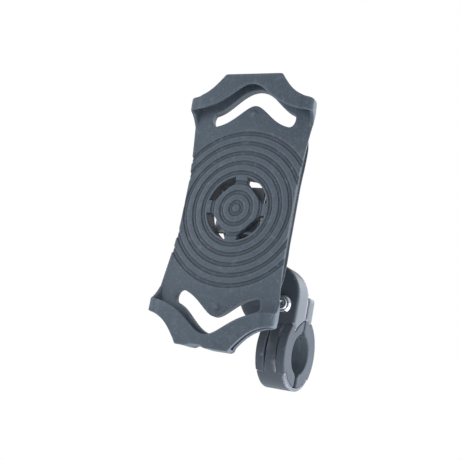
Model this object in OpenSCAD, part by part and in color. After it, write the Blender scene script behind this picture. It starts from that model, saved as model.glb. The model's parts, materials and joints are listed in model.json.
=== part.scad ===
// Phone handlebar mount: a silicone cradle on a swivel, carried by a split clamp.
// Origin: centre of the handlebar bore. +X runs along the handlebar, the cradle
// faces -Y, and +Z is up along the cradle.

/* [Handlebar clamp] */
// Diameter of the handlebar that the liners grip
bar_d = 22.2; // [21.8:0.1:23]
// Width of the clamp along the handlebar
clamp_w = 17.3; // [15:0.1:18]
// Radial thickness of the rubber liner under the metal band
liner_t = 3.9; // [3.4:0.1:4.2]
// Width of the metal band left between the liner's flanges
band_w = 7.4; // [6:0.2:9]
// Gap between the clamp's two lugs
slit_w = 1.4; // [1:0.1:2]
// Height of the clamp screw's axis above the bore's centre
screw_z = 24.4; // [24:0.1:26]

/* [Arm] */
// Sideways distance from the bore's centre to the swivel axis, to the left
hub_left = 18.6; // [16:0.2:20]
// Distance from the bore's centre forward to the cradle's front face
hub_forward = 53.8; // [52:0.2:56]
// Height of the swivel axis above the bore's centre
hub_up = 66.6; // [64:0.2:69]
// Radius of the arm's round head behind the cradle
head_r = 15.2; // [14.5:0.1:15.4]

/* [Cradle] */
// Distance from one concentric groove to the next
groove_pitch = 5.5; // [5.2:0.1:5.6]
// Width of each groove
groove_w = 1.5; // [1:0.1:1.8]
// Depth of each groove
groove_depth = 1; // [0.6:0.1:1.2]
// Thickness of the silicone pad
pad_t = 4.4; // [4:0.1:5]
// Clear height of the pocket between the pad and the end bands
pocket_h = 5.6; // [5:0.1:6.5]
// Thickness of the end bands
band_t = 1.7; // [1.5:0.1:2.2]

/* [Hidden] */

$fn = 96;
eps = 0.01;

// Colours
silicone = [0.33, 0.36, 0.40];
black_metal = [0.12, 0.13, 0.15];
rubber = [0.42, 0.45, 0.48];
steel = [0.78, 0.78, 0.80];
nylon = [0.20, 0.21, 0.23];

// Clamp
bar_r = bar_d / 2;
seat_r = bar_r + liner_t;
half_w = clamp_w / 2;
half_band = band_w / 2;
half_slit = slit_w / 2;
half_gap = 1.5;
ring_r = 20.4;
ring_drop = 0.1;
lug_front_y = -15;
lug_rear_y = 8.7;
lug_rear_top = 32;
lug_rear_corner = 2;

// Liner flange outline: radius at the top split, where the flange starts in front
// and behind, round the side, and at the bottom split, with the angles from
// straight up where they change
flange_top_r = 19;
flange_notch_r = 15.7;
flange_side_r = 20.8;
flange_bottom_r = 18.3;
flange_start = 46;
flange_rear_start = 24.5;
flange_end = 128;

// Arm: round plates joined by straight skins, as [x, z, radius, front y, rear y]
neck_r = 18.2;
neck_plate = [half_w - neck_r, 29, neck_r, lug_front_y, -half_slit];
neck_bottom = 13.5;
arm_root = [-15, 34, 11, lug_front_y, -half_slit];
arm_middle = [-16, 42.5, 12.5, -31, -19];
hub = [-hub_left, -hub_forward, hub_up];

// Swivel stack: depths behind the pad's front face, along the swivel axis
core_front = 1.8;
core_t = 1.6;
plate_front = pad_t;
plate_t = 2.6;
plate_rear = plate_front + plate_t;
face_gap = 0.05;
thrust_t = 0.75;
head_front = plate_rear + face_gap + thrust_t;
head_t = 11.2;
head_rear = head_front + head_t;
head_step = head_front + 4.2;
recess_depth = 4.5;
recess_floor = head_rear - recess_depth;
head_plate = [-hub_left, hub_up, head_r, head_step - hub_forward, head_rear - hub_forward];
head_boss_r = 12.4;

// Swivel radii
shaft_r = 5;
running_gap = 0.05;
bush_r = 6.5;
bush_flange_r = 8.8;
recess_r = 8.2;
stud_r = 2.5;
washer_r = 7.6;
plate_half = 13.1;
plate_corner = 2.6;
core_r = 11;
core_screw_at = 6.4;
core_screw_r = 1.25;
core_screw_head_r = 2.3;
core_screw_head_t = 1.2;
shaft_flange_r = 6.8;
shaft_flange_t = 1.2;
wave_t = 0.36;
wave_gap = 0.02;
thrust_washer_t = 0.8;
lock_nut_t = 2.5;
nut_flats = 8;

// Clamp screw
screw_r = 2.5;
screw_hole_r = 2.65;
screw_head_r = 3.6;
screw_head_t = 2.6;
screw_end_y = 9.1;
cup_r = 5.2;
cup_t = 1.9;
cup_floor = 0.7;
socket_flats = 3;
socket_depth = 1.7;
nut_t = 3.2;

// Cradle outline
pad_half_w = 32.5;
top_end = 73.6;
low_end = 75.6;
flare_start = 18;
flare_half_w = 36.2;
ear_half_w = 37.7;
ear_low = 52.7;
ear_high = 59.5;
ear_wall = 1.9;
peak_half_w = 16.2;
end_wall = 1.8;
window_chord = 17.6;
window_r = 17.6;
spoke_half = 3.4;
dot_r = 1.6;
dot_y = 53.3;
dot_h = 0.5;
skirt_r = 20.5;
skirt_h = 5.5;
first_groove = 0.6 * groove_pitch;

// ---------- helpers ----------

// A Bezier curve through n steps
function bezier(a, b, c, d, n = 10) = [for (i = [0 : n]) let (t = i / n, s = 1 - t)
    s * s * s * a + 3 * s * s * t * b + 3 * s * t * t * c + t * t * t * d];

function mirror_x(points) = [for (i = [len(points) - 1 : -1 : 0])
    [-points[i][0], points[i][1]]];

// A point at an angle from straight up, towards the front for a positive side
function from_up(r, a, side = 1) = [-side * r * sin(a), r * cos(a)];

// Extrude a (Y, Z) outline along X
module extrude_x(x0, x1) {
    translate([x0, 0, 0]) rotate([90, 0, 90]) linear_extrude(x1 - x0) children();
}

// Extrude an (X, Z) outline along Y
module extrude_y(y0, y1) {
    translate([0, y1, 0]) rotate([90, 0, 0]) linear_extrude(y1 - y0) children();
}

// A rod along X
module rod_x(r, x0, x1) {
    translate([x0, 0, 0]) rotate([0, 90, 0]) cylinder(r = r, h = x1 - x0);
}

// A rod along Y whose axis passes through (x, z)
module rod_y(r, y0, y1, x = 0, z = 0) {
    translate([x, y1, z]) rotate([90, 0, 0]) cylinder(r = r, h = y1 - y0);
}

// Place a piece of the cradle: drawn lying down with its front face up at height 0
module on_hub() {
    translate(hub) rotate([90, 0, 0]) children();
}

// A rod on the swivel axis between two depths behind the pad's front face
module hub_rod(r, from, to) {
    translate([0, 0, -to]) cylinder(r = r, h = to - from);
}

// A flat ring on the swivel axis between two depths
module hub_ring(r_out, r_in, from, to) {
    difference() {
        hub_rod(r_out, from, to);
        hub_rod(r_in, from - 1, to + 1);
    }
}

module hexagon(flats) {
    circle(r = flats / sqrt(3), $fn = 6);
}

module at_core_screws() {
    for (x = [-1, 1], y = [-1, 1])
        translate([x * core_screw_at, y * core_screw_at, 0]) children();
}

// ---------- clamp ----------

// The side of one liner half, seen along the handlebar; grow moves the edge out
module flange_outline(side, grow = 0) {
    start = side > 0 ? flange_start : flange_rear_start;
    start_r = side > 0 ? flange_notch_r : flange_top_r;
    polygon(concat(
        [[0, 0]],
        [for (i = [0 : 6]) let (t = i / 6)
            from_up(flange_top_r + (start_r - flange_top_r) * sin(90 * t), start * t, side)],
        [for (i = [0 : 16])
            from_up(flange_side_r + grow, start + (flange_end - start) * i / 16, side)],
        [for (i = [0 : 6])
            from_up(flange_bottom_r, flange_end + (180 - flange_end) * i / 6, side)]
    ));
}

module arm_disc(d) {
    rod_y(d[2], d[3], d[4], d[0], d[1], $fn = 64);
}

module arm() {
    difference() {
        arm_disc(neck_plate);
        // clear of the handlebar beside the clamp
        translate([-40, -40, 0]) cube([40 - half_w, 80, neck_bottom]);
    }
    hull() { arm_disc(arm_root); arm_disc(arm_middle); }
    hull() { arm_disc(arm_middle); arm_disc(head_plate); }
    on_hub() hub_rod(head_boss_r, head_front, head_step + 1);
}

module clamp_ring() {
    translate([0, 0, -ring_drop]) rod_x(ring_r, -half_w, half_w);
    extrude_x(-half_w, half_w)
        translate([lug_front_y, 0]) square([-lug_front_y, neck_plate[1]]);
    extrude_x(-half_w, half_w) hull() {
        square([lug_rear_y, 1]);
        translate([lug_rear_y - lug_rear_corner, lug_rear_top - lug_rear_corner])
            circle(r = lug_rear_corner, $fn = 32);
        translate([0, lug_rear_top - 1]) square(1);
    }
}

module clamp_body() color(black_metal) difference() {
    union() {
        clamp_ring();
        arm();
    }
    rod_x(seat_r, -half_w - 1, half_w + 1);
    for (m = [0, 1]) mirror([m, 0, 0]) for (side = [-1, 1])
        extrude_x(half_band, half_w + 1) flange_outline(side, 6);
    // the slit between the lugs
    translate([-half_w - 1, -half_slit, 0])
        cube([clamp_w + 2, slit_w, lug_rear_top + 12]);
    // the screw's hole and the nut's pocket
    rod_y(screw_hole_r, lug_front_y - 20, lug_rear_y + 1, 0, screw_z);
    translate([0, 0, screw_z]) extrude_y(lug_rear_y - nut_t - 0.2, lug_rear_y + 1)
        hexagon(nut_flats);
    // the swivel's bore, its rear recess, and a flat round the cap behind it
    on_hub() hub_rod(bush_r, head_front - 1, head_rear + 1);
    on_hub() hub_rod(recess_r, recess_floor, head_rear + 1);
    on_hub() hub_rod(recess_r + 2, head_rear, head_rear + 30);
}

// One half of the rubber liner, on the front side for side = 1
module liner(side) difference() {
    union() {
        rod_x(seat_r, -half_w, half_w);
        for (m = [0, 1]) mirror([m, 0, 0])
            extrude_x(half_band, half_w) flange_outline(side);
    }
    rod_x(bar_r, -half_w - 1, half_w + 1);
    // fine grooves that mark off the two gripping lips
    for (x = [-half_band - 0.5, half_band]) difference() {
        rod_x(bar_r + 0.4, x, x + 0.5);
    }
    // the other half's side, and the gap between the halves
    translate([-half_w - 1, side > 0 ? -half_slit : -40, -40])
        cube([clamp_w + 2, 40 + half_slit, 80]);
    translate([-half_w - 1, -half_gap, -40]) cube([clamp_w + 2, 2 * half_gap, 40]);
    // relieved corners beside the gap
    for (z = [-bar_r, bar_r]) translate([-half_w - 1, 0, z])
        rotate([45, 0, 0]) translate([0, -2, -2]) cube([clamp_w + 2, 4, 4]);
}

module front_liner() color(rubber) liner(1);
module rear_liner() color(rubber) liner(-1);

module clamp_nut() color(steel) difference() {
    translate([0, 0, screw_z]) extrude_y(lug_rear_y - nut_t, lug_rear_y)
        hexagon(nut_flats - 0.1);
    rod_y(screw_r + running_gap, lug_rear_y - nut_t - 1, lug_rear_y + 1, 0, screw_z);
}

module cup_washer() color(steel) translate([0, lug_front_y, screw_z])
    rotate([90, 0, 0]) rotate_extrude() polygon([
        [screw_hole_r, 0], [cup_r - 0.3, 0], [cup_r, 0.3], [cup_r, 0.7],
        [cup_r - 0.9, cup_t], [cup_r - 1.4, cup_t], [screw_head_r + 0.15, cup_floor],
        [screw_hole_r, cup_floor]]);

module clamp_screw() color(steel) translate([0, lug_front_y - cup_floor - face_gap, screw_z])
    rotate([90, 0, 0]) difference() {
        rotate_extrude() polygon([
            [0, lug_front_y - cup_floor - face_gap - screw_end_y],
            [screw_r - 0.5, lug_front_y - cup_floor - face_gap - screw_end_y],
            [screw_r, lug_front_y - cup_floor - face_gap - screw_end_y + 0.5],
            [screw_r, 0], [screw_head_r, 0], [screw_head_r, screw_head_t - 0.6],
            [screw_head_r - 0.2, screw_head_t - 0.2],
            [screw_head_r - 0.7, screw_head_t], [0, screw_head_t]]);
        translate([0, 0, screw_head_t - socket_depth])
            linear_extrude(socket_depth + 1) hexagon(socket_flats);
    }

// ---------- swivel ----------

module swivel_bush() color(nylon) on_hub() difference() {
    union() {
        hub_rod(bush_r, head_front, recess_floor - 0.1);
        hub_rod(bush_flange_r, head_front - thrust_t, head_front);
    }
    hub_rod(shaft_r + running_gap, head_front - thrust_t - 1, recess_floor + 1);
}

module friction_ring() color(rubber) on_hub()
    hub_ring(head_boss_r - 0.4, bush_flange_r + 0.5, head_front - thrust_t, head_front);

module wave_washer() color(steel) on_hub()
    hub_ring(washer_r, shaft_r + 0.3, recess_floor, recess_floor + wave_t);

module rear_cap() color(nylon) on_hub() difference() {
    union() {
        hub_rod(recess_r, head_rear - 0.6, head_rear);
        hub_rod(recess_r + 1.2, head_rear, head_rear + 0.6);
        hub_rod(recess_r + 0.4, head_rear + 0.6, head_rear + 1.1);
    }
    for (a = [0, 180]) rotate([0, 0, a]) translate([recess_r - 0.6, -1.2, -head_rear - 2])
        cube([2, 2.4, 1.6]);
}

module backplate() color(black_metal) on_hub() difference() {
    translate([0, 0, -plate_rear]) linear_extrude(plate_t) plate_outline(plate_corner);
    hub_rod(shaft_r, plate_front - 1, plate_rear + 1);
    hub_rod(shaft_flange_r, plate_front - 1, plate_front + shaft_flange_t);
    at_core_screws() {
        hub_rod(core_screw_r, plate_front - 1, plate_rear + 1);
        translate([0, 0, -plate_rear]) cylinder(r1 = core_screw_head_r, r2 = core_screw_r,
                                                h = core_screw_head_t);
    }
}

// A square with rounded corners
module plate_outline(corner) {
    side = plate_half - corner;
    polygon([for (q = [0 : 3], i = [0 : 6]) let (a = 90 * q + 15 * i)
        [side * (q == 0 || q == 3 ? 1 : -1) + corner * cos(a),
         side * (q < 2 ? 1 : -1) + corner * sin(a)]]);
}

module core_disc() color(nylon) on_hub() difference() {
    hub_rod(core_r, core_front, core_front + core_t);
    at_core_screws() hub_rod(core_screw_r, core_front + 0.3, core_front + core_t + 1);
}

module core_screws() color(steel) on_hub() at_core_screws() difference() {
    union() {
        hub_rod(core_screw_r, core_front + 0.5, plate_rear);
        translate([0, 0, -plate_rear]) cylinder(r1 = core_screw_head_r, r2 = core_screw_r,
                                                h = core_screw_head_t);
    }
    translate([0, 0, -plate_rear - 1]) linear_extrude(1.8) hexagon(1.5);
}

module swivel_shaft() color(steel) on_hub() {
    hub_rod(shaft_flange_r, plate_front, plate_front + shaft_flange_t);
    hub_rod(shaft_r, plate_front + shaft_flange_t, shaft_end());
    hub_rod(stud_r, shaft_end(), shaft_end() + thrust_washer_t + lock_nut_t);
}

// Depth of the shoulder that the thrust washer is clamped to
function shaft_end() = recess_floor + wave_t + wave_gap;

module thrust_washer() color(steel) on_hub()
    hub_ring(washer_r, stud_r, shaft_end(), shaft_end() + thrust_washer_t);

module lock_nut() color(steel) on_hub() difference() {
    translate([0, 0, -shaft_end() - thrust_washer_t - lock_nut_t])
        linear_extrude(lock_nut_t) hexagon(nut_flats);
    hub_rod(stud_r, shaft_end(), shaft_end() + 10);
}

// ---------- cradle ----------

// Half of the pad's edge, from the middle of the right side to one end
function pad_edge(end) = concat(
    [[pad_half_w, 0], [pad_half_w, ear_high - 0.4]],
    bezier([pad_half_w - 0.8, 60.2], [24, 61.2], [19, 65.5], [13.4, 72.6]),
    [[12, end]]);

// Outer and inner edges of an end band, right half
function band_outer(end) = concat(
    [[ear_half_w, ear_low], [ear_half_w, ear_high - 1], [ear_half_w - 0.6, ear_high]],
    bezier([34.5, 60], [26, 61.6], [22.5, 66], [17.5, 72.2]),
    [[peak_half_w, end]]);
band_inner = bezier([0, 67.8], [9.5, 67.8], [13.5, 53.6], [ear_half_w, ear_low], 14);

// The chevron slot's edges, right half
slot_upper = bezier([0, 66.7], [10, 66.7], [15, 55], [24.2, 52.6], 12);
slot_end = bezier([24.2, 52.6], [26.2, 51], [25, 44.8], [21.5, 45.7], 6);
slot_lower = bezier([21.5, 45.7], [11, 48], [5.5, 57.8], [0, 57.8], 12);

module both_ends() {
    children();
    mirror([0, 1, 0]) children();
}

// The pad from its middle to one end
module half_pad(end) {
    polygon(concat([[-pad_half_w, -eps], [pad_half_w, -eps]], pad_edge(end),
                   mirror_x(pad_edge(end))));
}

module slot_outline() {
    right = concat(slot_upper, slot_end, slot_lower);
    polygon(concat(right, mirror_x(right)));
}

// One window of the hub: outside a chord, inside a circle, clear of the spokes
module window_outline() {
    a0 = asin(spoke_half / window_r);
    polygon(concat(
        [[window_chord - spoke_half, spoke_half]],
        [for (i = [0 : 10]) let (a = a0 + (90 - 2 * a0) * i / 10)
            window_r * [cos(a), sin(a)]],
        [[spoke_half, window_chord - spoke_half]]));
}

module end_band(end) {
    translate([0, 0, pocket_h]) linear_extrude(band_t)
        polygon(concat(band_outer(end), mirror_x(band_outer(end)), mirror_x(band_inner),
                       band_inner));
    // the wall across the end
    translate([-peak_half_w, end - end_wall, -eps])
        cube([2 * peak_half_w, end_wall, pocket_h + 2 * eps]);
    translate([-12, end - end_wall, -pad_t]) cube([24, end_wall, pad_t + eps]);
    // the leaning walls at the ears
    for (m = [0, 1]) mirror([m, 0, 0])
        translate([0, ear_high - 0.4, 0]) rotate([90, 0, 0]) linear_extrude(ear_high - ear_low - 0.4)
            polygon([[pad_half_w - 1, -pad_t], [pad_half_w, -pad_t], [flare_half_w, 0],
                     [ear_half_w, pocket_h + eps], [ear_half_w - ear_wall, pocket_h + eps],
                     [flare_half_w - ear_wall, 0], [pad_half_w - 1, 0]]);
}

// The pad's sides lean out more and more towards each ear
module side_flare() {
    inside = pad_half_w - 2;
    for (m = [0, 1]) mirror([m, 0, 0]) hull() {
        translate([0, 0, -eps]) linear_extrude(eps)
            polygon([[inside, flare_start], [pad_half_w, flare_start],
                     [flare_half_w, ear_low], [inside, ear_low]]);
        translate([0, 0, -pad_t]) linear_extrude(eps)
            polygon([[inside, flare_start], [pad_half_w, flare_start],
                     [pad_half_w, ear_low], [inside, ear_low]]);
    }
}

module silicone_cradle() color(silicone) on_hub() difference() {
    union() {
        difference() {
            translate([0, 0, -pad_t]) linear_extrude(pad_t) {
                half_pad(top_end);
                mirror([0, 1, 0]) half_pad(low_end);
            }
            for (r = [first_groove : groove_pitch : 42]) translate([0, 0, -groove_depth])
                difference() {
                    cylinder(r = r + groove_w / 2, h = groove_depth + 1);
                    translate([0, 0, -1]) cylinder(r = r - groove_w / 2, h = groove_depth + 3);
                }
            for (a = [0 : 90 : 270]) rotate([0, 0, a]) translate([0, 0, -pad_t - 1])
                linear_extrude(pad_t + 2) window_outline();
            both_ends() translate([0, 0, -pad_t - 1]) linear_extrude(pad_t + 2) slot_outline();
        }
        end_band(top_end);
        mirror([0, 1, 0]) end_band(low_end);
        both_ends() side_flare();
        both_ends() translate([0, dot_y, -eps]) cylinder(r = dot_r, h = dot_h);
        // the skirt that frames the windows behind the pad
        hub_ring(skirt_r, window_r + 0.1, pad_t - eps, pad_t + skirt_h);
    }
    // moulded round the core disc and its screws
    hub_rod(core_r, core_front, core_front + core_t);
    at_core_screws() hub_rod(core_screw_r, core_front, plate_front + 1);
}

clamp_body();
front_liner();
rear_liner();
clamp_nut();
cup_washer();
clamp_screw();
swivel_bush();
friction_ring();
wave_washer();
rear_cap();
silicone_cradle();
core_disc();
core_screws();
backplate();
swivel_shaft();
thrust_washer();
lock_nut();
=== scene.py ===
import json
import math

import bpy
import numpy as np
import openvdb
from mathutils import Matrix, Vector


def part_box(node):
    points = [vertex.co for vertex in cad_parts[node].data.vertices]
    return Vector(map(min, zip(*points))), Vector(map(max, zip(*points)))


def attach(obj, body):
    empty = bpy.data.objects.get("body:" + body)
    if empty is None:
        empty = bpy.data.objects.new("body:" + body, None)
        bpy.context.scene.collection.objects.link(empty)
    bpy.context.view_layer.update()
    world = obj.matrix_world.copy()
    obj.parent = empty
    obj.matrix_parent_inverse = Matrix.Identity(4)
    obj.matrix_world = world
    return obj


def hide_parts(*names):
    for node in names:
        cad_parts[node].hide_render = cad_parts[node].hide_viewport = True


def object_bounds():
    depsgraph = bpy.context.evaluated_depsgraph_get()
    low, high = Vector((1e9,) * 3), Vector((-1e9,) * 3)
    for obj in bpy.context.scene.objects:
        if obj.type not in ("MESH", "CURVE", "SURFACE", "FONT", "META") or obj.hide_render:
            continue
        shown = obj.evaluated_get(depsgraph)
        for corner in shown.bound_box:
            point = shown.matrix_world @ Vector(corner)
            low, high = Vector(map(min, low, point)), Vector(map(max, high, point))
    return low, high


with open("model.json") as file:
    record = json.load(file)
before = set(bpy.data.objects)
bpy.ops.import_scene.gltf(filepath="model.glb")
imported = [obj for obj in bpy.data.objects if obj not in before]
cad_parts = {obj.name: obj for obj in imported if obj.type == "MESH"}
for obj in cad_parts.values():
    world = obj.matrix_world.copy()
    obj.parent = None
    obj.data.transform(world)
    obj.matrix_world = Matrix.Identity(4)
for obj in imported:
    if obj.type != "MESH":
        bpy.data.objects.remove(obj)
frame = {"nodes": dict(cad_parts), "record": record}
cad_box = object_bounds()

MM = 0.001

# ---------- the CAD's driving places, in millimetres ----------

HUB = np.array(next(j for j in frame["record"]["behaviour"]["joints"]
                    if j["name"] == "holder_swivel")["pos_m"]) / MM
CRADLE_LOW, CRADLE_HIGH = (np.array(corner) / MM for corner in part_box("silicone_cradle"))
TOP_END = CRADLE_HIGH[2] - HUB[2]
LOW_END = HUB[2] - CRADLE_LOW[2]
EAR_HALF = CRADLE_HIGH[0] - HUB[0]
BAND_FRONT = HUB[1] - CRADLE_LOW[1]
BAND_T = 1.7
POCKET_H = BAND_FRONT - BAND_T
PAD_T = 4.4
SKIRT_H = CRADLE_HIGH[1] - HUB[1] - PAD_T


# ---------- distance fields ----------

def circle_max(a, b, radius):
    """The intersection of two distance fields, with a round edge."""
    u = np.maximum(a + radius, 0)
    v = np.maximum(b + radius, 0)
    return np.hypot(u, v) + np.minimum(np.maximum(a, b) + radius, 0) - radius


def circle_min(a, b, radius):
    """The union of two distance fields, with a round fillet."""
    return -circle_max(-a, -b, radius)


def smooth_step(value, low, high):
    t = np.clip((value - low) / (high - low), 0, 1)
    return t * t * (3 - 2 * t)


def outline_distance(x, y, points):
    """Signed distance to a closed outline, negative inside."""
    points = np.array(points, dtype=np.float64)
    nearest = np.full(np.broadcast(x, y).shape, np.inf)
    inside = np.zeros(nearest.shape, dtype=bool)
    for (ax, ay), (bx, by) in zip(points, np.roll(points, -1, axis=0)):
        ex, ey = bx - ax, by - ay
        length_sq = ex * ex + ey * ey
        if length_sq < 1e-12:
            continue
        t = np.clip(((x - ax) * ex + (y - ay) * ey) / length_sq, 0, 1)
        nearest = np.minimum(nearest, (x - ax - t * ex) ** 2 + (y - ay - t * ey) ** 2)
        crosses = (ay > y) != (by > y)
        if ey:
            inside ^= crosses & (x < ax + (y - ay) * ex / ey)
    return (np.where(inside, -1, 1) * np.sqrt(nearest)).astype(np.float32)


def bezier(a, b, c, d, steps=14):
    a, b, c, d = (np.array(p, dtype=float) for p in (a, b, c, d))
    return [tuple((1 - t) ** 3 * a + 3 * (1 - t) ** 2 * t * b + 3 * (1 - t) * t * t * c + t ** 3 * d)
            for t in np.linspace(0, 1, steps + 1)]


def mirrored(right_half):
    """A closed outline from its right half, which runs from the top down or back up."""
    return list(right_half) + [(-x, y) for x, y in reversed(right_half)]


def polygons(field, low, voxel, iso=0.0, adaptivity=0.0):
    """The surface of a field sampled on a grid, as points in millimetres, triangles and quads."""
    grid = openvdb.FloatGrid(float(field.max()))
    grid.copyFromArray(np.ascontiguousarray(field, dtype=np.float32))
    points, triangles, quads = grid.convertToPolygons(iso, adaptivity)
    return np.asarray(points, dtype=np.float64) * voxel + low, triangles, quads


def new_mesh(name, points, triangles, quads):
    """A smooth-shaded object from polygons in millimetres."""
    loops = np.concatenate([np.asarray(triangles).ravel(), np.asarray(quads).ravel()])
    sizes = np.concatenate([np.full(len(triangles), 3), np.full(len(quads), 4)])
    mesh = bpy.data.meshes.new(name)
    mesh.vertices.add(len(points))
    mesh.vertices.foreach_set("co", (points * MM).astype(np.float32).ravel())
    mesh.loops.add(len(loops))
    mesh.loops.foreach_set("vertex_index", loops.astype(np.int32))
    mesh.polygons.add(len(sizes))
    mesh.polygons.foreach_set("loop_start", np.concatenate([[0], np.cumsum(sizes)[:-1]]).astype(np.int32))
    mesh.polygons.foreach_set("use_smooth", np.ones(len(sizes), dtype=bool))
    mesh.update(calc_edges=True)
    mesh.validate()
    obj = bpy.data.objects.new(name, mesh)
    bpy.context.scene.collection.objects.link(obj)
    return obj


def node_polygons(node):
    """A CAD node's own surface in millimetres."""
    mesh = frame["nodes"][node].data
    mesh.calc_loop_triangles()
    points = np.empty(len(mesh.vertices) * 3, dtype=np.float32)
    mesh.vertices.foreach_get("co", points)
    triangles = np.empty(len(mesh.loop_triangles) * 3, dtype=np.int32)
    mesh.loop_triangles.foreach_get("vertices", triangles)
    return points.reshape(-1, 3) / MM, triangles.reshape(-1, 3).astype(np.uint32)


def sampled(points, triangles, quads, low, high, voxel, reach):
    """The distance to a closed surface on a grid, true up to reach from it."""
    shape = tuple(int(n) for n in np.ceil((high - low) / voxel).astype(int) + 1)
    grid = openvdb.FloatGrid.createLevelSetFromPolygons(
        np.ascontiguousarray((points - low) / voxel, dtype=np.float32),
        triangles=np.ascontiguousarray(triangles, dtype=np.uint32),
        quads=np.ascontiguousarray(quads, dtype=np.uint32),
        halfWidth=reach / voxel + 2)
    field = np.zeros(shape, dtype=np.float32)
    grid.copyToArray(field)
    return field * voxel


NO_QUADS = np.zeros((0, 4), dtype=np.uint32)


def rounded_field(node, low, high, voxel, radius):
    """A CAD node's distance field with every outer edge rounded."""
    points, triangles = node_polygons(node)
    field = sampled(points, triangles, NO_QUADS, low, high, voxel, radius + voxel)
    core = polygons(field, low, voxel, -radius)
    reach = 3 * voxel
    return np.clip(sampled(*core, low, high, voxel, radius + reach) - radius, -reach, reach)


def blurred(field, steps):
    """The field averaged over a few steps each way along every axis, twice."""
    for axis in (0, 1, 2, 0, 1, 2):
        line = np.moveaxis(field, axis, 0)
        padded = np.concatenate([line[:1]] * (steps + 1) + [line] + [line[-1:]] * steps)
        total = np.cumsum(padded, axis=0, dtype=np.float64)
        field = np.moveaxis((total[2 * steps + 1:] - total[:-2 * steps - 1]) / (2 * steps + 1), 0, axis)
    return field


# ---------- camera ----------

# metres, degrees and millimetres
CAMERA_PLACE = (0.1886, -0.4205, -0.0331)
CAMERA_TURN = (101.933, -10.803, 27.3)
LENS = 64.32


def make_camera():
    """Below the cradle and to its right, looking up at its front."""
    data = bpy.data.cameras.new("camera")
    data.sensor_width = 36
    data.lens = LENS
    camera = bpy.data.objects.new("camera", data)
    camera.location = CAMERA_PLACE
    camera.rotation_euler = [math.radians(angle) for angle in CAMERA_TURN]
    bpy.context.scene.collection.objects.link(camera)
    bpy.context.scene.camera = camera


make_camera()


# ---------- silicone cradle ----------
# Modelled lying down: x runs across the pad, y along it, and n forward from its front face.

# the sides, and how far the front stands back at the ears
SIDE_HALF = 32.5
FRONT_HALF = 32.3
FLARE = 4.4
FLARE_START = 12
FLARE_POWER = 1.35
EAR_BEND = 2.8
EAR_STEP = 0.7

# the ends: both lean a little to the left, and the lower one has a shallow notch in its edge
LOW_LEAN = 0.95
TOP_LEAN = 0.8
NOTCH_X = -4.6
NOTCH_DEPTH = 1.3
TOP_EAR_HALF = EAR_HALF - TOP_LEAN
LOW_EAR_HALF = EAR_HALF - LOW_LEAN
TOP_BAND_EAR = 59.5
LOW_BAND_EAR = 60.1
SHOULDER_START = 57.5

# the pocket and the opening between the bands
END_WALL = 1.8
EAR_LOW = 52.7
TOP_PEAK = 67.8
LOW_PEAK = 68.5
GUSSET = 7.0

# the lower slot sits a little left of the upper one's mirror image, and further out
LOW_SLOT_LEFT = 0.7
LOW_SLOT_OUT = 0.5

# the hub's windows and the skirt behind them
WINDOW_CHORD = 17.6
WINDOW_R = 17.6
SPOKE_HALF = 3.4
SKIRT_R = 19.05
SKIRT_HALF_T = 1.45

# the grooves, each with a deeper gutter along both walls
GROOVE_RADII = [3.3 + 5.5 * i for i in range(8)]
GROOVE_HALF = 1.2
GROOVE_DEPTH = 0.65
GUTTER_HALF = 0.38
GUTTER_DEPTH = 0.85

# the raised dots, each the top of a ball sunk in the pad
DOT_Y = 53.4
DOT_BALL_R = 2.35
DOT_SINK = 1.6


def pad_edge(end):
    """A quarter of the pad's outline, from the middle of one end to the side."""
    return ([(0, end), (12.2, end), (13.8, end - 1)]
            + bezier((14.5, 72.4), (19.2, 66), (24, 61.8), (31.7, 60.5))
            + [(36, 60), (36, 0)])


def band_edge(end, ear_end):
    """A quarter of the bands' outline, from the middle of one end to the side."""
    return ([(0, end), (15.4, end), (17.0, 73.2)]
            + bezier((17.7, 72.3), (22.6, 66.2), (26.2, ear_end + 2.2), (34.5, ear_end + 0.6))
            + [(EAR_HALF - 0.6, ear_end), (EAR_HALF, ear_end - 1), (EAR_HALF, 0)])


def band_inner(peak, ear):
    """Half of a band's inner edge, from the middle to past the side."""
    curve = bezier((0, peak), (9.5, peak), (13.6, ear + 0.9), (EAR_HALF, ear), 20)
    return curve + [(EAR_HALF + 8, ear - 0.4)]


SLOT_TOP = (bezier((0, 66.7), (10, 66.7), (15, 55), (24.2, 52.6))
            + bezier((24.2, 52.6), (26.2, 51), (25, 44.8), (21.5, 45.7), 8)
            + bezier((21.5, 45.7), (11, 48), (5.5, 57.8), (0, 57.8)))


def closed(top, low):
    """A closed outline from its top and bottom right quarters, each from the end to the side."""
    return mirrored(top[::-1]) + [(-x, -y) for x, y in mirrored(low[::-1])]


def flat_distance(x, y, top, low):
    """The distance to a closed outline of two quarters, the same at every height."""
    return outline_distance(x[:, :, 0], y[:, :, 0], closed(top, low))[:, :, None]


def leaning_across(x, y):
    """The distance from the middle line, which leans left towards both ends."""
    low_share = smooth_step(-y, 8, 46)
    top_share = smooth_step(y, 46, 58)
    return np.abs(x + LOW_LEAN * low_share + TOP_LEAN * top_share)


def end_distance(x, y):
    """The distance past the nearer end, with the notch in the lower one."""
    notch = NOTCH_DEPTH * smooth_step(-np.abs(x - NOTCH_X), -5.6, -2.8)
    return np.where(y < 0, -y - LOW_END + notch, y - TOP_END)


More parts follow.
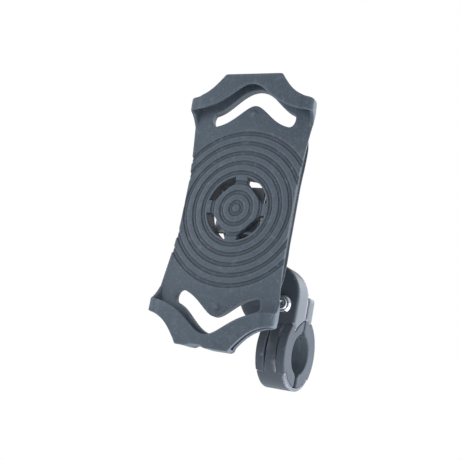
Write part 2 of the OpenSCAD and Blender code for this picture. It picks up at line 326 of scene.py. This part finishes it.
def side_distance(across, y, n):
    """The distance past the sides, which lean out to the ears above a thin lip at the rear."""
    ay = np.abs(y)
    near_ear = np.clip((ay - FLARE_START) / (EAR_LOW - FLARE_START), 0, 1) ** FLARE_POWER
    ear_half = np.where(y < 0, LOW_EAR_HALF, TOP_EAR_HALF)
    half = SIDE_HALF + (FRONT_HALF - SIDE_HALF + FLARE * near_ear) * np.clip(1 + n / PAD_T, 0, 1)
    half = half + (ear_half - FRONT_HALF - FLARE) * near_ear * np.clip(n / POCKET_H, 0, 1)
    lip = (0.6 + 0.5 * smooth_step(ay, 14, 28)) * (1 - smooth_step(ay, 33, 42))
    half = half + lip * smooth_step(-n, 3.0, 3.5)
    return across - half


def cradle_outside(y, n, across, side, end):
    """The outer form, whose shoulders slant from the pad's outline up to the bands'."""
    front = n - BAND_FRONT + EAR_STEP * smooth_step(across, 29, 31.8)
    outer = circle_max(side, front, EAR_BEND)
    outer = circle_max(outer, end, 0.8)
    pad = flat_distance(across, y, pad_edge(TOP_END), pad_edge(LOW_END))
    band = flat_distance(across, y, band_edge(TOP_END, TOP_BAND_EAR), band_edge(LOW_END, LOW_BAND_EAR))
    lean = np.clip((n + PAD_T) / (PAD_T + POCKET_H), 0, 1)
    shoulder = np.where(np.abs(y) > SHOULDER_START, pad + (band - pad) * lean, -5)
    outer = circle_max(outer, shoulder, 0.45)
    return circle_max(outer, -PAD_T - n, 0.25)


def cut_pocket(body, n, side, end):
    """The pocket that the phone's end goes into."""
    inner = circle_max(side + END_WALL + 0.1, n - POCKET_H, EAR_BEND - END_WALL)
    inner = circle_max(inner, end + END_WALL, 0.8)
    inner = circle_max(inner, -n, 0.6)
    return circle_max(body, -inner, 0.3)


def cut_between_bands(body, y, n, across):
    """Open between the bands, with a slanting gusset up to each ear."""
    opening = flat_distance(across, y, band_inner(TOP_PEAK, EAR_LOW), band_inner(LOW_PEAK, EAR_LOW + 0.5))
    height = np.clip(n / POCKET_H, 0, 1)
    gusset = GUSSET * (1 - height) ** 2 * smooth_step(across, 31.0, 33.0)
    between = circle_max(opening + gusset, -n, 0.5)
    return circle_max(body, -between, 0.45)


def cut_slots(body, x, y, n):
    """The chevron slots, through the pad only."""
    flat_x, flat_y = x[:, :, 0], y[:, :, 0]
    upper = outline_distance(flat_x, flat_y, mirrored(SLOT_TOP))
    lower = outline_distance(flat_x + LOW_SLOT_LEFT, -flat_y - LOW_SLOT_OUT, mirrored(SLOT_TOP))
    slot = np.minimum(upper, lower)[:, :, None]
    return circle_max(body, -np.maximum(slot, n - 2), 0.4)


def add_hub(body, x, y, n, r):
    """Round the hub: a skirt behind, and four windows between the spokes."""
    ax, ay = np.abs(x), np.abs(y)
    skirt = np.maximum(np.abs(r - SKIRT_R) - SKIRT_HALF_T, -PAD_T - SKIRT_H - n)
    skirt = np.maximum(skirt, n + 1)
    body = circle_min(body, skirt, 0.4)
    chord = (WINDOW_CHORD - ax - ay) / math.sqrt(2)
    round_edge = np.maximum(chord, r - WINDOW_R)
    beside_spokes = np.maximum(SPOKE_HALF - ax, SPOKE_HALF - ay)
    return circle_max(body, -np.maximum(round_edge, beside_spokes), 0.4)


def cut_grooves(body, n, r):
    """The concentric grooves."""
    for radius in GROOVE_RADII:
        offset = np.abs(r - radius)
        groove = np.maximum(offset - GROOVE_HALF, -GROOVE_DEPTH - n)
        gutter = np.maximum(np.abs(offset - GROOVE_HALF + GUTTER_HALF) - GUTTER_HALF, -GUTTER_DEPTH - n)
        body = circle_max(body, -np.minimum(groove, gutter), 0.35)
    return body


def cradle_field(x, y, n):
    """The distance to the whole cradle's surface, negative inside."""
    across = leaning_across(x, y)
    end = end_distance(x, y)
    side = side_distance(across, y, n)
    r = np.hypot(x, y)
    body = cradle_outside(y, n, across, side, end)
    body = cut_pocket(body, n, side, end)
    body = cut_between_bands(body, y, n, across)
    body = cut_slots(body, x, y, n)
    body = add_hub(body, x, y, n, r)
    body = cut_grooves(body, n, r)
    dot = np.sqrt(x * x + (np.abs(y) - DOT_Y) ** 2 + (n + DOT_SINK) ** 2) - DOT_BALL_R
    return circle_min(body, dot, 0.2)


def make_cradle(voxel):
    """The cradle's surface, in the CAD's frame."""
    margin = 3 * voxel
    low = np.array([-EAR_HALF, -LOW_END, -PAD_T - SKIRT_H]) - margin
    high = np.array([EAR_HALF, TOP_END, BAND_FRONT]) + margin
    axes = [np.arange(low[i], high[i] + voxel, voxel, dtype=np.float32) for i in range(3)]
    x, y, n = axes[0][:, None, None], axes[1][None, :, None], axes[2][None, None, :]
    x, y = np.broadcast_arrays(x, y)
    field = cradle_field(x, y, n)
    points, triangles, quads = polygons(np.clip(field, -2, 2), low, voxel, adaptivity=0.02)
    # stand it up: across is X, along is Z and the front faces -Y
    points = np.stack([HUB[0] + points[:, 0], HUB[1] - points[:, 2], HUB[2] + points[:, 1]], axis=1)
    return new_mesh("cradle", points, triangles, quads)


# ---------- materials ----------

def new_material(name, colour, roughness, metallic=0.0):
    """A principled material with plain values for nodes to refine, its tree, shader and coordinates."""
    material = bpy.data.materials.new(name)
    material.use_nodes = True
    tree = material.node_tree
    shader = tree.nodes["Principled BSDF"]
    shader.inputs["Base Color"].default_value = (*colour, 1)
    shader.inputs["Roughness"].default_value = roughness
    shader.inputs["Metallic"].default_value = metallic
    place = tree.nodes.new("ShaderNodeTexCoord").outputs["Object"]
    return material, tree, shader, place


def noise(tree, place, scale, detail=3.0, rough=0.6):
    node = tree.nodes.new("ShaderNodeTexNoise")
    node.inputs["Scale"].default_value = scale
    node.inputs["Detail"].default_value = detail
    node.inputs["Roughness"].default_value = rough
    tree.links.new(place, node.inputs["Vector"])
    return node.outputs["Fac"]


def pointiness(tree):
    """Above a half on sharp edges and below it in hollows."""
    return tree.nodes.new("ShaderNodeNewGeometry").outputs["Pointiness"]


def spread(tree, value, low, high, to_low, to_high):
    """A value remapped from one range to another, and clamped."""
    node = tree.nodes.new("ShaderNodeMapRange")
    node.inputs["From Min"].default_value = low
    node.inputs["From Max"].default_value = high
    node.inputs["To Min"].default_value = to_low
    node.inputs["To Max"].default_value = to_high
    tree.links.new(value, node.inputs["Value"])
    return node.outputs["Result"]


def blended(tree, factor, first, second):
    """A mix of two colours, each a tuple or another node's output."""
    node = tree.nodes.new("ShaderNodeMix")
    node.data_type = "RGBA"
    tree.links.new(factor, node.inputs["Factor"])
    for name, colour in (("A", first), ("B", second)):
        socket = next(i for i in node.inputs if i.name == name and i.type == "RGBA")
        if isinstance(colour, tuple):
            socket.default_value = (*colour, 1)
        else:
            tree.links.new(colour, socket)
    return next(o for o in node.outputs if o.type == "RGBA")


def bumps(tree, shader, *layers):
    """Layers of (height, depth in metres, strength), each bumping the last one's normal."""
    normal = None
    for height, depth, strength in layers:
        node = tree.nodes.new("ShaderNodeBump")
        node.inputs["Distance"].default_value = depth
        node.inputs["Strength"].default_value = strength
        tree.links.new(height, node.inputs["Height"])
        if normal:
            tree.links.new(normal, node.inputs["Normal"])
        normal = node.outputs["Normal"]
    tree.links.new(normal, shader.inputs["Normal"])


def silicone_material():
    """Moulded silicone: slate grey with a dusty grain; paler on edges, partly worn rims and partly a painted
    highlight; painted shade in grooves, other recesses and everything set back from the front face.
    """
    material, tree, shader, place = new_material("silicone", (0.08, 0.1, 0.125), 0.55)
    grain = noise(tree, place, 1300, 2.0, 0.7)
    cloud = noise(tree, place, 45, 3.0, 0.55)
    # paler on sharp edges: partly worn rims, partly a painted highlight
    edge = spread(tree, pointiness(tree), 0.505, 0.56, 0, 1)
    # painted shade: darker in grooves and other recesses
    painted_shade_in_recesses = spread(tree, pointiness(tree), 0.44, 0.495, 1, 0)
    colour = blended(tree, spread(tree, cloud, 0.35, 0.65, 0, 1), (0.034, 0.048, 0.066), (0.058, 0.077, 0.1))
    colour = blended(tree, spread(tree, grain, 0.35, 0.7, 0, 1), colour, (0.075, 0.096, 0.119))
    colour = blended(tree, edge, colour, (0.115, 0.134, 0.157))
    colour = blended(tree, painted_shade_in_recesses, colour, (0.034, 0.044, 0.057))
    # painted shade on everything set back from the pad's front face: groove floors, slot and window walls,
    # sides and rear
    part = tree.nodes.new("ShaderNodeSeparateXYZ")
    tree.links.new(place, part.inputs["Vector"])
    painted_shade_set_back = spread(tree, part.outputs["Y"], (HUB[1] + 0.2) * MM, (HUB[1] + 1.0) * MM, 0, 0.85)
    colour = blended(tree, painted_shade_set_back, colour, (0.022, 0.028, 0.037))
    worn = noise(tree, place, 260, 6.0, 0.8)
    colour = blended(tree, spread(tree, worn, 0.54, 0.7, 0, 0.6), colour, (0.17, 0.195, 0.225))
    speck = tree.nodes.new("ShaderNodeTexVoronoi")
    speck.inputs["Scale"].default_value = 330
    tree.links.new(place, speck.inputs["Vector"])
    dust = spread(tree, speck.outputs["Distance"], 0.05, 0.1, 0.5, 0)
    colour = blended(tree, dust, colour, (0.36, 0.39, 0.42))
    tree.links.new(colour, shader.inputs["Base Color"])
    tree.links.new(spread(tree, cloud, 0.3, 0.7, 0.44, 0.58), shader.inputs["Roughness"])
    bumps(tree, shader, (cloud, 0.0006, 0.2), (worn, 0.0001, 0.4), (grain, 0.00006, 0.5))
    shader.inputs["Sheen Weight"].default_value = 0.12
    shader.inputs["Sheen Roughness"].default_value = 0.6
    return material


def coated_metal_material(name, rubbed_edge_and_highlight_colour, edge_share):
    """Black satin coating over bead-blasted aluminium, its edges painted bright: partly rubbed bare metal,
    partly a painted highlight.
    """
    material, tree, shader, place = new_material(name, (0.03, 0.038, 0.046), 0.36)
    grain = noise(tree, place, 2600, 2.0, 0.6)
    cloud = noise(tree, place, 60, 3.0, 0.5)
    # edges painted pale: partly rubbed bare metal, partly a painted highlight
    edge = spread(tree, pointiness(tree), 0.515, 0.55, 0, edge_share)
    colour = blended(tree, cloud, (0.052, 0.061, 0.072), (0.07, 0.08, 0.093))
    colour = blended(tree, edge, colour, rubbed_edge_and_highlight_colour)
    tree.links.new(colour, shader.inputs["Base Color"])
    tree.links.new(spread(tree, grain, 0.3, 0.7, 0.33, 0.45), shader.inputs["Roughness"])
    bumps(tree, shader, (grain, 0.00003, 0.35))
    return material


def rubber_material():
    """Grey moulded rubber, matte, with a slight mottle."""
    material, tree, shader, place = new_material("liner_rubber", (0.07, 0.08, 0.095), 0.62)
    grain = noise(tree, place, 1500, 3.0, 0.7)
    cloud = noise(tree, place, 90, 3.0, 0.55)
    edge = spread(tree, pointiness(tree), 0.52, 0.58, 0, 0.8)
    colour = blended(tree, spread(tree, cloud, 0.3, 0.7, 0, 1), (0.055, 0.064, 0.076), (0.075, 0.086, 0.1))
    colour = blended(tree, spread(tree, grain, 0.4, 0.7, 0, 0.5), colour, (0.1, 0.115, 0.13))
    colour = blended(tree, edge, colour, (0.15, 0.165, 0.185))
    tree.links.new(colour, shader.inputs["Base Color"])
    tree.links.new(spread(tree, cloud, 0.3, 0.7, 0.56, 0.7), shader.inputs["Roughness"])
    shader.inputs["Specular IOR Level"].default_value = 0.35
    bumps(tree, shader, (grain, 0.00005, 0.4))
    return material


def steel_material():
    """Polished stainless steel with faint scratches."""
    colour = (0.9, 0.9, 0.91)
    material, tree, shader, place = new_material("steel", colour, 0.16, 1.0)
    scratch = noise(tree, place, 900, 4.0, 0.7)
    tree.links.new(spread(tree, scratch, 0.3, 0.7, 0.1, 0.24), shader.inputs["Roughness"])
    tint = blended(tree, noise(tree, place, 150), tuple(0.9 * c for c in colour), colour)
    tree.links.new(tint, shader.inputs["Base Color"])
    bumps(tree, shader, (scratch, 0.00002, 0.2))
    return material


def nylon_material():
    """Black moulded nylon with a fine spark-eroded grain."""
    material, tree, shader, place = new_material("black_nylon", (0.02, 0.022, 0.025), 0.5)
    grain = noise(tree, place, 1800, 2.0, 0.6)
    tint = blended(tree, grain, (0.016, 0.018, 0.02), (0.03, 0.032, 0.036))
    tree.links.new(tint, shader.inputs["Base Color"])
    tree.links.new(spread(tree, grain, 0.3, 0.7, 0.42, 0.58), shader.inputs["Roughness"])
    bumps(tree, shader, (grain, 0.00004, 0.5))
    return material


MATERIALS = {
    "silicone": silicone_material(),
    # the pinkish pale edge colour is partly a painted highlight
    "black_metal": coated_metal_material("black_metal", (0.5, 0.47, 0.53), 0.8),
    "liner_rubber": rubber_material(),
    "steel": steel_material(),
    "black_nylon": nylon_material(),
}
SLOTS = {part["node"]: part["material_slot"] for part in frame["record"]["subparts"]}
BODIES = {node: body for body, nodes in frame["record"]["behaviour"]["bodies"].items() for node in nodes}
for node, obj in frame["nodes"].items():
    obj.data.materials.clear()
    obj.data.materials.append(MATERIALS[SLOTS[node]])


# ---------- pieces with rounded edges ----------

def stand_for(piece, node, material=None):
    """The piece takes the CAD node's place, body and finish."""
    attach(piece, BODIES[node])
    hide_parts(node)
    piece.data.materials.append(material or MATERIALS[SLOTS[node]])
    return piece


def node_grid(node, voxel):
    """The corners of a grid round a CAD node, in millimetres."""
    low, high = (np.array(corner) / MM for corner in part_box(node))
    return low - 4 * voxel, high + 4 * voxel


def make_rounded(node, name, voxel, radius, material=None):
    """A CAD node's own shape with its outer edges rounded."""
    low, high = node_grid(node, voxel)
    field = rounded_field(node, low, high, voxel, radius)
    return stand_for(new_mesh(name, *polygons(field, low, voxel, adaptivity=0.02)), node, material)


def make_clamp():
    """The arm and clamp: rounded all over, a little more in front, and smoothed along the arm."""
    voxel = 0.35
    low, high = node_grid("clamp_body", voxel)
    field = rounded_field("clamp_body", low, high, voxel, 0.45)
    bold = rounded_field("clamp_body", low, high, voxel, 0.9)
    y = (low[1] + voxel * np.arange(field.shape[1]))[None, :, None]
    z = (low[2] + voxel * np.arange(field.shape[2]))[None, None, :]
    # from the front lug and neck to just short of the head
    in_front = smooth_step(-y, 5, 9) * smooth_step(y, -45, -41) * smooth_step(z, 11, 14)
    field = field + (bold - field) * in_front
    # from the neck to just short of the head
    along_arm = smooth_step(-y, 16, 20) * smooth_step(y, -42, -38)
    field = field + (blurred(field, 3) - field) * along_arm
    return stand_for(new_mesh("arm_and_clamp", *polygons(field, low, voxel, adaptivity=0.02)), "clamp_body")


# node, name, voxel and edge radius
ROUNDED = (
    ("front_liner", "liner_front", 0.25, 0.4),
    ("rear_liner", "liner_rear", 0.25, 0.4),
    ("cup_washer", "washer_cup", 0.1, 0.15),
    ("clamp_screw", "screw", 0.12, 0.18),
    ("rear_cap", "cap_rear", 0.2, 0.25),
)

stand_for(make_cradle(0.3), "silicone_cradle")
make_clamp()
for node, name, voxel, radius in ROUNDED:
    make_rounded(node, name, voxel, radius)
# the plate's edges painted near white: machined bright edges, with a painted highlight on top
make_rounded("backplate", "plate_back", 0.2, 0.45,
             coated_metal_material("plate_metal", (0.75, 0.75, 0.78), 1.0))


# ---------- light and floor ----------

DAYLIGHT = (0.85, 0.92, 1.0)
CENTRE = tuple((cad_box[0][i] + cad_box[1][i]) / 2 for i in range(3))


def make_floor():
    """A plain pale floor, below the camera."""
    bpy.ops.mesh.primitive_circle_add(vertices=96, radius=1.6, fill_type="NGON", location=(0, 0, -0.26))
    floor = bpy.context.object
    floor.name = "floor"
    material, tree, shader, place = new_material("floor", (0.85, 0.85, 0.85), 0.8)
    floor.data.materials.append(material)


def make_light(name, place, size, radiance):
    """A square softbox aimed at the object, which the camera doesn't see."""
    data = bpy.data.lights.new(name, "AREA")
    data.shape = "SQUARE"
    data.size = size
    data.color = DAYLIGHT
    data.energy = radiance * math.pi * size * size
    light = bpy.data.objects.new(name, data)
    light.location = place
    light.rotation_euler = (Vector(CENTRE) - Vector(place)).to_track_quat("-Z", "Y").to_euler()
    light.visible_camera = False
    bpy.context.scene.collection.objects.link(light)


def make_world(seen, lighting):
    """White to the camera, and dimmer as a light."""
    world = bpy.data.worlds.new("world")
    bpy.context.scene.world = world
    world.use_nodes = True
    tree = world.node_tree
    background = tree.nodes["Background"]
    ray = tree.nodes.new("ShaderNodeLightPath").outputs["Is Camera Ray"]
    tree.links.new(blended(tree, ray, DAYLIGHT, (1.0, 1.0, 1.0)), background.inputs["Color"])
    tree.links.new(spread(tree, ray, 0, 1, lighting, seen), background.inputs["Strength"])


make_floor()
make_world(1.0, 0.62)
make_light("backdrop", (0.7, 1.3, 0.3), 1.8, 2.6)
make_light("under", (0.1, 0.0, -0.25), 0.7, 2.3)
make_light("right", (1.2, -0.3, 0.1), 0.8, 1.1)
make_light("left", (-0.4, -0.32, 0.12), 0.3, 3.3)
bpy.context.scene.view_settings.view_transform = "Standard"
